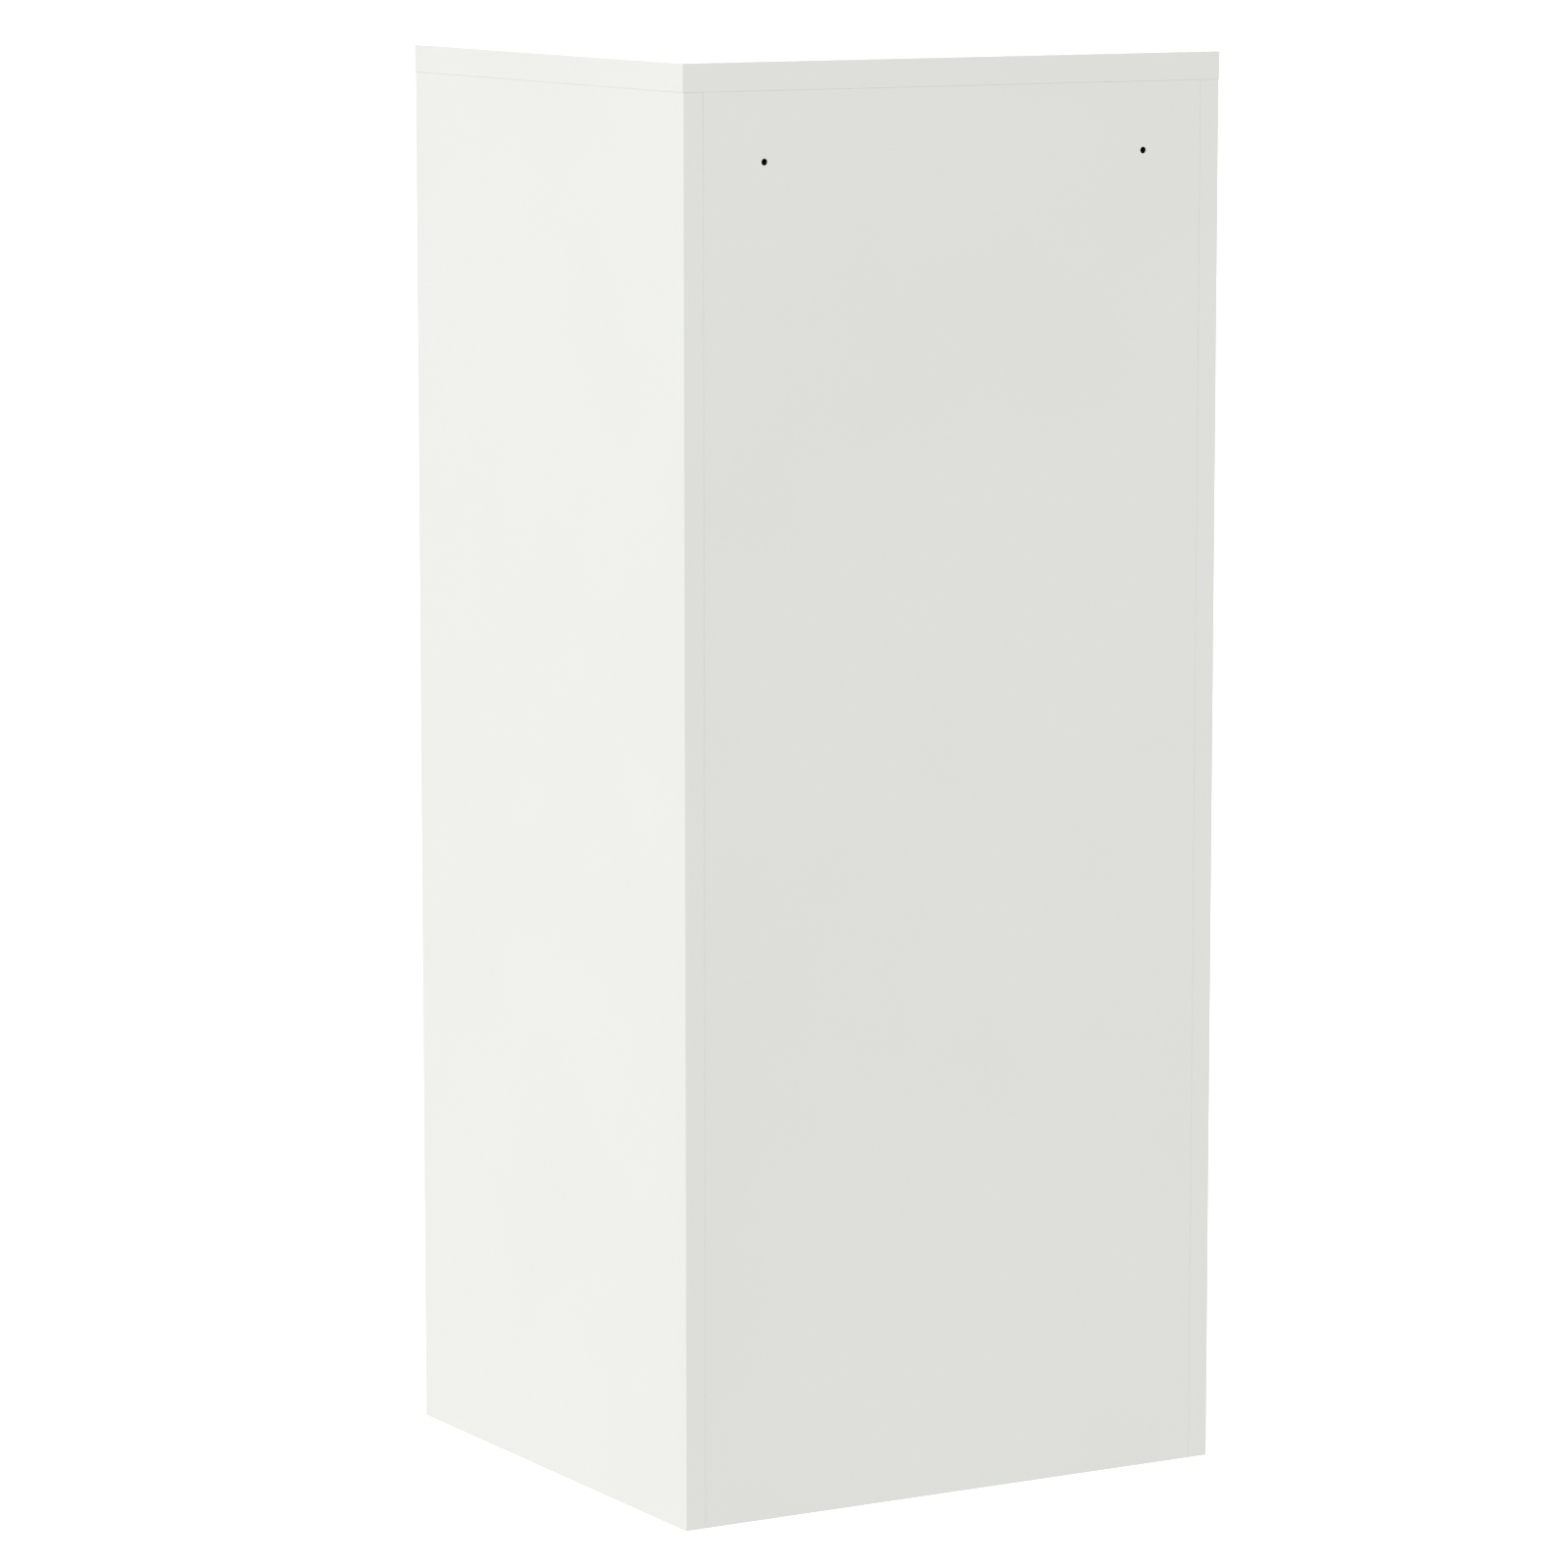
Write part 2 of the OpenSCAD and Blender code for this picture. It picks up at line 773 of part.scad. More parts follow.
module lock_barrel(tier) {
    color(nickel_grey)
        lock_place(tier)
            difference() {
                union() {
                    translate([0, 0, -rim_t])
                        cylinder(r1 = rim_r - rim_t / 2, r2 = rim_r, h = rim_t / 2);
                    translate([0, 0, -rim_t / 2])
                        cylinder(r = rim_r, h = rim_t / 2);
                    linear_extrude(cam_z - cam_run_gap)
                        barrel_outline(barrel_r, barrel_flats);
                }
                translate([0, 0, -rim_t - 1])
                    cylinder(r = plug_head_r + run_fit, h = plug_head_t + head_gap + 1);
                translate([0, 0, -rim_t])
                    cylinder(r = plug_r + run_fit, h = cam_z + rim_t + 1);
            }
}

module lock_nut(tier) {
    color(zinc_grey)
        lock_place(tier)
            translate([0, 0, sheet_t])
                difference() {
                    cylinder(r = barrel_nut_af / 2 / cos(30), h = barrel_nut_t, $fn = 6);
                    translate([0, 0, -1])
                        cylinder(r = barrel_r, h = barrel_nut_t + 2);
                }
}

// The plug turns in the barrel. The key goes in at the front, and the cam sits on the square tail.
module lock_plug(tier) {
    keyway_w = blade_w + 2 * keyway_fit;
    keyway_h = blade_t + 2 * keyway_fit;
    color(nickel_grey)
        lock_place(tier)
            difference() {
                union() {
                    translate([0, 0, -rim_t])
                        cylinder(r = plug_head_r, h = plug_head_t);
                    translate([0, 0, -rim_t])
                        cylinder(r = plug_r, h = cam_z + rim_t);
                    translate([-tail_w / 2, -tail_w / 2, cam_z - 1])
                        cube([tail_w, tail_w, cam_t + 1 - head_gap]);
                }
                translate([-keyway_w / 2, -keyway_h / 2, -rim_t - 1])
                    cube([keyway_w, keyway_h, blade_len + keyway_fit + 1]);
                translate([0, 0, cam_z + cam_t - cam_screw_len])
                    cylinder(r = cam_screw_r, h = cam_screw_len + 1);
            }
}

// The cam hangs down when the lock is open and turns to point behind the stile when it is locked.
module lock_cam(tier) {
    corner = cam_w / 3;
    color(zinc_grey)
        lock_place(tier)
            translate([0, 0, cam_z])
                linear_extrude(cam_t)
                    difference() {
                        translate([0, (cam_reach - cam_w / 2) / 2])
                            round_rect(cam_w, cam_reach + cam_w / 2, corner);
                        square(tail_w + 2 * cam_hole_fit, center = true);
                    }
}

module cam_screw(tier) {
    color(zinc_grey)
        lock_place(tier)
            translate([0, 0, cam_z + cam_t]) {
                translate([0, 0, -cam_screw_len])
                    cylinder(r = cam_screw_r, h = cam_screw_len);
                cylinder(r = cam_washer_r, h = cam_washer_t);
                translate([0, 0, cam_washer_t])
                    cylinder(r = cam_screw_head_r, h = cam_screw_head_t, $fn = 6);
            }
}

// A flat key: a notched blade, a shoulder against the plug and a round bow with a ring hole.
module key(tier) {
    cuts = [0.9, 1.5, 0.6, 1.2];
    tip = blade_len - rim_t;
    pitch = (blade_len - 4) / len(cuts);
    half = blade_w / 2;
    notched = [for (i = [0 : len(cuts) - 1])
                  for (p = [[-0.5, 0], [-0.15, cuts[i]], [0.15, cuts[i]], [0.5, 0]])
                      [half - p.y, tip - 3 - pitch * (i + 0.5 - p.x * 0.8)]];
    color(nickel_grey)
        lock_place(tier)
            rotate([90, 0, 0])
                linear_extrude(blade_t, center = true)
                    difference() {
                        union() {
                            polygon(concat([[-half, -rim_t - key_shoulder], [half, -rim_t - key_shoulder]],
                                           [for (i = [len(cuts) - 1 : -1 : 0])
                                                for (k = [0 : 3])
                                                    notched[4 * i + k]],
                                           [[half, tip - 2], [half - 2, tip], [2 - half, tip], [-half, tip - 2]]));
                            translate([0, -rim_t - key_shoulder - bow_r + 1])
                                circle(r = bow_r);
                        }
                        translate([0, -rim_t - key_shoulder - 1.4 * bow_r])
                            circle(r = bow_r / 4);
                    }
}

top_cap();
side_panel_left();
side_panel_right();
back_panel();
upper_shelf();
lower_shelf();
base_pan();
base_rib();
hinge_bushes();
door_buffers();
cap_screws();

door(2);  // upper_door
door_rib(2);  // upper_door_rib
hinge_pins(2);  // upper_hinge_pins
handle(2);  // upper_handle
card_frame(2);  // upper_card_frame
card_cover(2);  // upper_card_cover
card(2);  // upper_card
card_rivets(2);  // upper_card_rivets
lock_barrel(2);  // upper_lock_barrel
lock_nut(2);  // upper_lock_nut
lock_plug(2);  // upper_lock_plug
lock_cam(2);  // upper_lock_cam
cam_screw(2);  // upper_cam_screw
key(2);  // upper_key

door(1);  // middle_door
door_rib(1);  // middle_door_rib
hinge_pins(1);  // middle_hinge_pins
handle(1);  // middle_handle
card_frame(1);  // middle_card_frame
card_cover(1);  // middle_card_cover
card(1);  // middle_card
card_rivets(1);  // middle_card_rivets
lock_barrel(1);  // middle_lock_barrel
lock_nut(1);  // middle_lock_nut
lock_plug(1);  // middle_lock_plug
lock_cam(1);  // middle_lock_cam
cam_screw(1);  // middle_cam_screw
key(1);  // middle_key

door(0);  // lower_door
door_rib(0);  // lower_door_rib
hinge_pins(0);  // lower_hinge_pins
handle(0);  // lower_handle
card_frame(0);  // lower_card_frame
card_cover(0);  // lower_card_cover
card(0);  // lower_card
card_rivets(0);  // lower_card_rivets
lock_barrel(0);  // lower_lock_barrel
lock_nut(0);  // lower_lock_nut
lock_plug(0);  // lower_lock_plug
lock_cam(0);  // lower_lock_cam
cam_screw(0);  // lower_cam_screw
key(0);  // lower_key
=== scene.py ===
"""Three-tier steel locker cabinet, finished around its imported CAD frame. Lengths are in metres."""
import math

import bmesh
import bpy
from mathutils import Matrix, Vector


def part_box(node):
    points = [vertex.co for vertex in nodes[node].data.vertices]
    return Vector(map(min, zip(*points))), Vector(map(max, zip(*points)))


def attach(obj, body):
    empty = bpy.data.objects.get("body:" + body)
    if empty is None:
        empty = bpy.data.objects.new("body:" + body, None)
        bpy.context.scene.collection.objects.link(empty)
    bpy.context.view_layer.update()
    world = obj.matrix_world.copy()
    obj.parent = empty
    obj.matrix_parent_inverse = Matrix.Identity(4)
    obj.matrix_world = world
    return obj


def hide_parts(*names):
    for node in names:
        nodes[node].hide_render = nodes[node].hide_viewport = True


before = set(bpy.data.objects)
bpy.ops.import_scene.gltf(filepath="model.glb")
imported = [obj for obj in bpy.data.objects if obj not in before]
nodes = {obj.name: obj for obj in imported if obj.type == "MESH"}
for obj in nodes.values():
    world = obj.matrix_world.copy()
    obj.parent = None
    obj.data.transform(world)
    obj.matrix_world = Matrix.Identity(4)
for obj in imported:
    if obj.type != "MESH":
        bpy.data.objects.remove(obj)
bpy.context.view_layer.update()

tiers = ("upper", "middle", "lower")


# ---- Camera ----
# A long lens a little above the cap, looking down at the back and at the side that is on its left.

aim = Vector((0.0154, -0.0089, 0.4289))
camera_azimuth = math.radians(149.782)
camera_elevation = math.radians(8.374)
camera_distance = 4.3507

camera = bpy.data.objects.new("camera", bpy.data.cameras.new("camera"))
camera.data.lens = 155.3
camera.data.sensor_width = 36
camera.data.clip_end = 200
towards_camera = Vector((
    math.sin(camera_azimuth) * math.cos(camera_elevation),
    -math.cos(camera_azimuth) * math.cos(camera_elevation),
    math.sin(camera_elevation),
))
camera.location = aim + camera_distance * towards_camera
camera.rotation_euler = towards_camera.to_track_quat("Z", "Y").to_euler()
bpy.context.scene.collection.objects.link(camera)
bpy.context.scene.camera = camera


# ---- Studio ----
# A white cove: an even white surround, two broad lamps far away, a pale floor and a pale dome over it.
# The key lamp stands behind the cabinet's right side, and the front lamp lights the doors.
# The surround also lights the cabinet from below, so the floor and the dome throw no light back.

surround_light = 0.85
cove_r = 25
dome_sides = 12
dome_lifts = (0, 30, 60, 89)
floor_grey = "#909090"
floor_glow = 0.95


def linear(colour):
    """An sRGB colour such as #e6e7e2 as the linear RGBA that a socket takes."""
    parts = [int(colour[i:i + 2], 16) / 255 for i in (1, 3, 5)]
    return [c / 12.92 if c <= 0.04045 else ((c + 0.055) / 1.055) ** 2.4 for c in parts] + [1.0]


def add(tree, kind, inputs=None, **settings):
    """Adds a node with its settings. Each input takes a number, a colour or another node's output."""
    made = tree.nodes.new(kind)
    for name, value in settings.items():
        setattr(made, name, value)
    for name, value in (inputs or {}).items():
        if isinstance(value, bpy.types.NodeSocket):
            tree.links.new(value, made.inputs[name])
        else:
            made.inputs[name].default_value = value
    return made


def add_lamp(name, towards, irradiance, spread):
    """A lamp far away in the given direction."""
    lamp = bpy.data.objects.new(name, bpy.data.lights.new(name, "SUN"))
    lamp.data.energy = irradiance
    lamp.data.angle = math.radians(spread)
    lamp.rotation_euler = Vector(towards).to_track_quat("Z", "Y").to_euler()
    bpy.context.scene.collection.objects.link(lamp)


add_lamp("key_lamp", towards=(0.75, 0.18, 0.95), irradiance=1.33, spread=32)
add_lamp("front_lamp", towards=(-0.35, -0.98, 0.6), irradiance=0.62, spread=40)

world = bpy.data.worlds.new("surround")
world.use_nodes = True
world.node_tree.nodes["Background"].inputs["Color"].default_value = (1, 1, 1, 1)
world.node_tree.nodes["Background"].inputs["Strength"].default_value = surround_light
bpy.context.scene.world = world
bpy.context.scene.view_settings.view_transform = "Standard"

# Matt studio paint: flat, with a glow of its own, so that it meets the surround without an edge.
floor_paint = bpy.data.materials.new("pale_floor")
floor_paint.use_nodes = True
shader = floor_paint.node_tree.nodes["Principled BSDF"]
shader.inputs["Base Color"].default_value = linear(floor_grey)
shader.inputs["Roughness"].default_value = 1.0
shader.inputs["Specular IOR Level"].default_value = 0.0
shader.inputs["Emission Color"].default_value = (1, 1, 1, 1)
shader.inputs["Emission Strength"].default_value = floor_glow


def stage_piece(name, verts, faces):
    """A part of the cove: seen by the camera, and neither a light nor a shade for the cabinet."""
    mesh = bpy.data.meshes.new(name)
    mesh.from_pydata(verts, [], faces)
    mesh.materials.append(floor_paint)
    piece = bpy.data.objects.new(name, mesh)
    piece.visible_diffuse = False
    piece.visible_glossy = False
    piece.visible_shadow = False
    bpy.context.scene.collection.objects.link(piece)


corners = ((-1, -1), (1, -1), (1, 1), (-1, 1))
stage_piece("floor", [(x * cove_r, y * cove_r, 0) for x, y in corners], [(0, 1, 2, 3)])
dome, dome_faces = [], []
for row, degrees in enumerate(dome_lifts):
    lift = math.radians(degrees)
    for i in range(dome_sides):
        turn = math.radians(360 / dome_sides * i)
        dome.append((cove_r * math.cos(lift) * math.cos(turn), cove_r * math.cos(lift) * math.sin(turn),
                     cove_r * math.sin(lift)))
        if row:
            here, after = row * dome_sides + i, row * dome_sides + (i + 1) % dome_sides
            dome_faces.append((here - dome_sides, after - dome_sides, after, here))
stage_piece("dome", dome, dome_faces)


# ---- Body, cap and doors: powder-coated sheet steel ----
# Folded 0.8 mm sheet, spot-welded, then sprayed with white polyester powder and stoved at about 200 C.
# The stoved coat is satin and even, with the shallow orange peel of powder that has flowed out.

coat_white = "#e6e7e2"
coat_thin = "#e5e6e1"
peel_size = 0.0018
peel_height = 0.000012
drift_size = 0.12


def new_finish(name):
    """A material with its node tree, its shader and the coordinates that its patterns follow."""
    finish = bpy.data.materials.new(name)
    finish.use_nodes = True
    tree = finish.node_tree
    return finish, tree, tree.nodes["Principled BSDF"], add(tree, "ShaderNodeTexCoord").outputs["Object"]


def set_shader(shader, **values):
    """Sets the shader's own sockets, with _ for the spaces in their names."""
    for name, value in values.items():
        shader.inputs[name.replace("_", " ")].default_value = value


# Polyester powder coat: a satin skin with a soft, wide highlight, broken up a little by the orange peel.
powder_coat, tree, shader, place = new_finish("powder_coat")
set_shader(shader, IOR=1.5)
drift = add(tree, "ShaderNodeTexNoise", {"Vector": place, "Scale": 1 / drift_size, "Detail": 2.0})
film = add(tree, "ShaderNodeValToRGB", {"Fac": drift.outputs["Fac"]})
film.color_ramp.elements[0].position = 0.35
film.color_ramp.elements[0].color = linear(coat_thin)
film.color_ramp.elements[1].position = 0.6
film.color_ramp.elements[1].color = linear(coat_white)
peel = add(tree, "ShaderNodeTexNoise", {"Vector": place, "Scale": 1 / peel_size, "Detail": 1.0})
peel_bump = add(tree, "ShaderNodeBump",
                {"Height": peel.outputs["Fac"], "Strength": 1.0, "Distance": peel_height})
gloss = add(tree, "ShaderNodeMapRange", {"Value": peel.outputs["Fac"], "To Min": 0.4, "To Max": 0.5})
tree.links.new(film.outputs["Color"], shader.inputs["Base Color"])
tree.links.new(gloss.outputs["Result"], shader.inputs["Roughness"])
tree.links.new(peel_bump.outputs["Normal"], shader.inputs["Normal"])


def coat(finish, *names):
    """Gives CAD nodes their finish."""
    for name in names:
        nodes[name].data.materials.clear()
        nodes[name].data.materials.append(finish)


coat(powder_coat, "top_cap", "side_panel_left", "side_panel_right", "back_panel",
     "upper_shelf", "lower_shelf", "base_pan", "base_rib")
for tier in tiers:
    coat(powder_coat, f"{tier}_door", f"{tier}_door_rib")


# ---- Cap screws: zinc-plated steel ----
# Four pan-head screws driven up through the body's top flanges into the flange of the cap.
# Cold headed with a stamped cross recess, thread rolled, then zinc plated and passivated.

mm = 0.001
gloss_spread = 0.06
smooth_below = math.radians(28)
screw_head_r = 3.8 * mm
screw_head_h = 2.4 * mm
screw_r = 1.9 * mm
screw_len = 7 * mm
screw_pitch = 1.3 * mm
screw_thread = 0.4 * mm
recess_arm = 1.9 * mm
recess_half_w = 0.5 * mm
recess_depth = 1.4 * mm


def metal(name, bright, dull, roughness, patch_size, blend):
    """A plated metal that changes a little in patches. The smaller blend is, the harder their edges."""
    finish, tree, shader, place = new_finish(name)
    set_shader(shader, Metallic=1.0)
    patches = add(tree, "ShaderNodeTexNoise", {"Vector": place, "Scale": 1 / patch_size, "Detail": 4.0})
    film = add(tree, "ShaderNodeValToRGB", {"Fac": patches.outputs["Fac"]})
    film.color_ramp.elements[0].position = 0.5 - blend
    film.color_ramp.elements[0].color = linear(dull)
    film.color_ramp.elements[1].position = 0.5 + blend
    film.color_ramp.elements[1].color = linear(bright)
    gloss = add(tree, "ShaderNodeMapRange", {"Value": patches.outputs["Fac"],
                                             "To Min": roughness - gloss_spread,
                                             "To Max": roughness + gloss_spread})
    tree.links.new(film.outputs["Color"], shader.inputs["Base Color"])
    tree.links.new(gloss.outputs["Result"], shader.inputs["Roughness"])
    return finish


# Passivated zinc plate: a bluish bright grey, slightly blotchy where the passivation is thicker.
zinc_plate = metal("zinc_plated_steel", "#b9bec3", "#a7adb4", roughness=0.34, patch_size=4 * mm, blend=0.2)


def turned(profile, segments=48, warp=None):
    """Turns a profile of (radius, height) pairs about Z, from low to high. warp may move each point."""
    verts, faces, rings = [], [], []
    for radius, height in profile:
        rings.append([])
        for i in range(segments if radius else 1):
            angle = 2 * math.pi * i / segments
            r, z = warp(angle, radius, height) if warp else (radius, height)
            rings[-1].append(len(verts))
            verts.append(Vector((r * math.cos(angle), r * math.sin(angle), z)))
    if profile[0] == profile[-1]:
        rings[-1] = rings[0]
    for low, high in zip(rings, rings[1:]):
        for i in range(segments):
            after = i + 1
            corners = (low[i % len(low)], low[after % len(low)], high[after % len(high)], high[i % len(high)])
            faces.append(list(dict.fromkeys(corners)))
    return verts, faces


def make_piece(name, parts, places, finish, body, stands_for):
    """One mesh piece: every part at every place. It rides on a body, takes a slot and replaces a CAD node."""
    shape = bmesh.new()
    for place in places:
        for verts, faces in parts:
            points = [shape.verts.new(place @ point) for point in verts]
            for face in faces:
                shape.faces.new([points[i] for i in face])
    bmesh.ops.delete(shape, geom=[v for v in shape.verts if not v.link_faces], context="VERTS")
    bmesh.ops.recalc_face_normals(shape, faces=shape.faces)
    for face in shape.faces:
        face.smooth = True
    for edge in shape.edges:
        edge.smooth = edge.calc_face_angle(0) < smooth_below
    mesh = bpy.data.meshes.new(name)
    shape.to_mesh(mesh)
    shape.free()
    mesh.materials.append(finish)
    piece = bpy.data.objects.new(name, mesh)
    bpy.context.scene.collection.objects.link(piece)
    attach(piece, body)
    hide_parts(stands_for)


def thread_depth(angle, z, pitch, depth):
    """How deep a rolled thread is at this angle and height."""
    turn = (z / pitch - angle / (2 * math.pi)) % 1
    return depth * abs(2 * turn - 1)


def screw_shape(angle, r, z):
    """The screw's cross recess in the head's end, and its thread above the head."""
    x, y = sorted((abs(r * math.cos(angle)), abs(r * math.sin(angle))))
    if z < 0 and x < recess_half_w and y < recess_arm:
        return r, z + recess_depth * (1 - y / recess_arm / 2)
    if z > 0 and r > 0:
        return r - thread_depth(angle, z, screw_pitch, screw_thread), z
    return r, z


crown = [(0.1 * i * screw_head_r, -screw_head_h + 0.35 * mm * (0.1 * i) ** 3) for i in range(8)]
rounded = [(screw_head_r * math.sin(a), -screw_head_h * math.cos(a) ** 1.4)
           for a in (math.radians(d) for d in (58, 68, 78, 86, 90))]
shank = [(screw_r, 0.05 * mm + screw_pitch / 6 * i) for i in range(26)]
tip = [(0.5 * mm, screw_len - 0.4 * mm), (0, screw_len)]
pan_screw = turned(crown + rounded + [(screw_r, 0)] + shank + tip, warp=screw_shape)

low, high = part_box("cap_screws")
screw_x, screw_y = high.x - screw_head_r, high.y - screw_head_r
screw_places = [Matrix.Translation((sx * screw_x, sy * screw_y, low.z + screw_head_h))
                for sx in (-1, 1) for sy in (-1, 1)]
make_piece("cap_pan_screws", [pan_screw], screw_places, zinc_plate, "cabinet", "cap_screws")


# ---- Hinges: steel pins in nylon bushes ----
# Each door turns on two headed pins of zinc-plated steel, pushed out through its end flanges.
# They run in flanged bushes of natural nylon, moulded and pressed into the body.

pin_r = 2 * mm
pin_head_r = 3 * mm
pin_head_h = 1.2 * mm
pin_len = 9.3 * mm
pin_chamfer = 0.5 * mm
bush_edge = 0.25 * mm
flow_size = 6 * mm


def soften(name, width, segments=2):
    """Rounds the sharp edges of a CAD node, as moulding, tumbling or plating leaves them."""
    weld = nodes[name].modifiers.new("weld", "WELD")
    weld.merge_threshold = 0.00001
    flat = nodes[name].modifiers.new("flat", "DECIMATE")
    flat.decimate_type = "DISSOLVE"
    flat.angle_limit = math.radians(1)
    edge = nodes[name].modifiers.new("edge", "BEVEL")
    edge.width = width
    edge.segments = segments
    edge.angle_limit = math.radians(35)
    edge.harden_normals = True


# Natural nylon 66: cream-white and waxy, a little translucent where it is thin.
nylon, tree, shader, place = new_finish("moulded_nylon")
set_shader(shader, IOR=1.53, Subsurface_Weight=0.15, Subsurface_Scale=2 * mm,
           Subsurface_Radius=(1.0, 0.9, 0.7))
flow = add(tree, "ShaderNodeTexNoise", {"Vector": place, "Scale": 1 / flow_size, "Detail": 2.0})
body_colour = add(tree, "ShaderNodeValToRGB", {"Fac": flow.outputs["Fac"]})
body_colour.color_ramp.elements[0].color = linear("#dedbcc")
body_colour.color_ramp.elements[1].color = linear("#ebe9de")
sheen = add(tree, "ShaderNodeMapRange", {"Value": flow.outputs["Fac"], "To Min": 0.34, "To Max": 0.46})
tree.links.new(body_colour.outputs["Color"], shader.inputs["Base Color"])
tree.links.new(sheen.outputs["Result"], shader.inputs["Roughness"])

coat(nylon, "hinge_bushes")
soften("hinge_bushes", bush_edge)

pin = turned([(0, -pin_head_h), (pin_head_r - 0.8 * mm, -pin_head_h),
              (pin_head_r - 0.2 * mm, -0.8 * pin_head_h), (pin_head_r, -0.5 * pin_head_h),
              (pin_head_r, 0), (pin_r, 0), (pin_r, pin_len - pin_chamfer),
              (pin_r - pin_chamfer, pin_len), (0, pin_len)])
turned_over = Matrix.Rotation(math.pi, 4, "X")
for tier in tiers:
    low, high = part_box(f"{tier}_hinge_pins")
    axis = (low + high) / 2
    pin_places = [Matrix.Translation((axis.x, axis.y, high.z - pin_len)),
                  Matrix.Translation((axis.x, axis.y, low.z + pin_len)) @ turned_over]
    make_piece(f"{tier}_headed_pins", [pin], pin_places, zinc_plate, f"{tier}_door",
               f"{tier}_hinge_pins")


# ---- Door buffers: rubber ----
# Two push-in buffers behind each door's top edge, so that the door shuts softly on its stop flange.
# Moulded in black rubber, with a domed face and a barbed stem that snaps into its hole.

buffer_r = 4 * mm
buffer_h = 2.5 * mm
door_sheet = 0.8 * mm
bloom_size = 1.5 * mm

# Moulded EPDM rubber: dark, dry and soft-looking, with a faint bloom and the grain of the mould.
rubber, tree, shader, place = new_finish("moulded_rubber")
set_shader(shader, IOR=1.5, Specular_IOR_Level=0.35)
bloom = add(tree, "ShaderNodeTexNoise", {"Vector": place, "Scale": 1 / bloom_size, "Detail": 3.0})
body_colour = add(tree, "ShaderNodeValToRGB", {"Fac": bloom.outputs["Fac"]})
body_colour.color_ramp.elements[0].color = linear("#242425")
body_colour.color_ramp.elements[1].color = linear("#333334")
grain = add(tree, "ShaderNodeBump", {"Height": bloom.outputs["Fac"], "Strength": 1.0, "Distance": 0.02 * mm})
dryness = add(tree, "ShaderNodeMapRange", {"Value": bloom.outputs["Fac"], "To Min": 0.6, "To Max": 0.78})
tree.links.new(body_colour.outputs["Color"], shader.inputs["Base Color"])
tree.links.new(dryness.outputs["Result"], shader.inputs["Roughness"])
tree.links.new(grain.outputs["Normal"], shader.inputs["Normal"])

barbed_stem = [(0, -1.8 * mm), (1.1 * mm, -1.8 * mm), (2.2 * mm, -1.0 * mm), (2.15 * mm, -door_sheet),
               (1.5 * mm, -door_sheet), (1.5 * mm, 0)]
domed_face = [(3.85 * mm, 0), (buffer_r, 0.15 * mm), (3.95 * mm, 0.5 * mm), (3.6 * mm, 1.55 * mm),
              (3.3 * mm, 2.1 * mm), (2.7 * mm, 2.38 * mm), (1.6 * mm, buffer_h), (0, buffer_h)]
buffer = turned(barbed_stem + domed_face)
low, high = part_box("door_buffers")
towards_door = Matrix.Rotation(math.pi / 2, 4, "X")
buffer_places = []
for tier in tiers:
    middle_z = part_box(f"{tier}_door")[1].z - buffer_r - door_sheet
    for side in (-1, 1):
        at = Matrix.Translation((side * (high.x - buffer_r), low.y + buffer_h, middle_z))
        buffer_places.append(at @ towards_door)
make_piece("rubber_buffers", [buffer], buffer_places, rubber, "cabinet", "door_buffers")


# ---- Recessed handles: grey ABS ----
# One moulded cup in each door, with a rim round the cut-out and a lip on the lock side to pull on.
# Snapped in from the front by two barbs. Injection moulded, with a spark-eroded texture.

handle_edge = 0.5 * mm
spark_size = 0.45 * mm
cloud_size = 20 * mm

# Textured ABS: mid grey and matt, with a fine even grain that softens every highlight.
# The real grain is about 0.1 mm. It is drawn at 0.45 mm, because a finer one can't be seen here.
abs_grey, tree, shader, place = new_finish("textured_abs")
set_shader(shader, IOR=1.52)
spark = add(tree, "ShaderNodeTexVoronoi", {"Vector": place, "Scale": 1 / spark_size})
cloud = add(tree, "ShaderNodeTexNoise", {"Vector": place, "Scale": 1 / cloud_size, "Detail": 3.0})
body_colour = add(tree, "ShaderNodeValToRGB", {"Fac": cloud.outputs["Fac"]})
body_colour.color_ramp.elements[0].color = linear("#757a7e")
body_colour.color_ramp.elements[1].color = linear("#80858a")
grain = add(tree, "ShaderNodeBump",
            {"Height": spark.outputs["Distance"], "Strength": 1.0, "Distance": 0.03 * mm})
matt = add(tree, "ShaderNodeMapRange", {"Value": spark.outputs["Distance"], "To Min": 0.62, "To Max": 0.5})
tree.links.new(body_colour.outputs["Color"], shader.inputs["Base Color"])
tree.links.new(matt.outputs["Result"], shader.inputs["Roughness"])
tree.links.new(grain.outputs["Normal"], shader.inputs["Normal"])

for tier in tiers:
    coat(abs_grey, f"{tier}_handle")
    soften(f"{tier}_handle", handle_edge, segments=3)


# ---- Card holders: nickel-plated frames, rivets, cards and clear covers ----
# A pressed steel frame, open at the top, holds a paper name card under a clear cover.
# Two blind rivets fix each frame to its door, through a lug on either side.

frame_edge = 0.35 * mm
rivet_head_r = 3 * mm
card_back = 0.05 * mm
card_h = 0.3 * mm
cover_back = 0.42 * mm
cover_h = 0.3 * mm
slip_corner = 1.5 * mm
slip_play = 0.1 * mm
thumb_r = 6 * mm
fibre_size = 0.8 * mm
rule_spacing = 1 / 3
rule_width = 0.05
ripple_size = 20 * mm

# Bright nickel plate: a warm silver that is smooth enough to show a soft image of the room.
nickel_plate = metal("nickel_plated_steel", "#bfbcb5", "#b0ada6", roughness=0.2, patch_size=12 * mm,
                     blend=0.25)

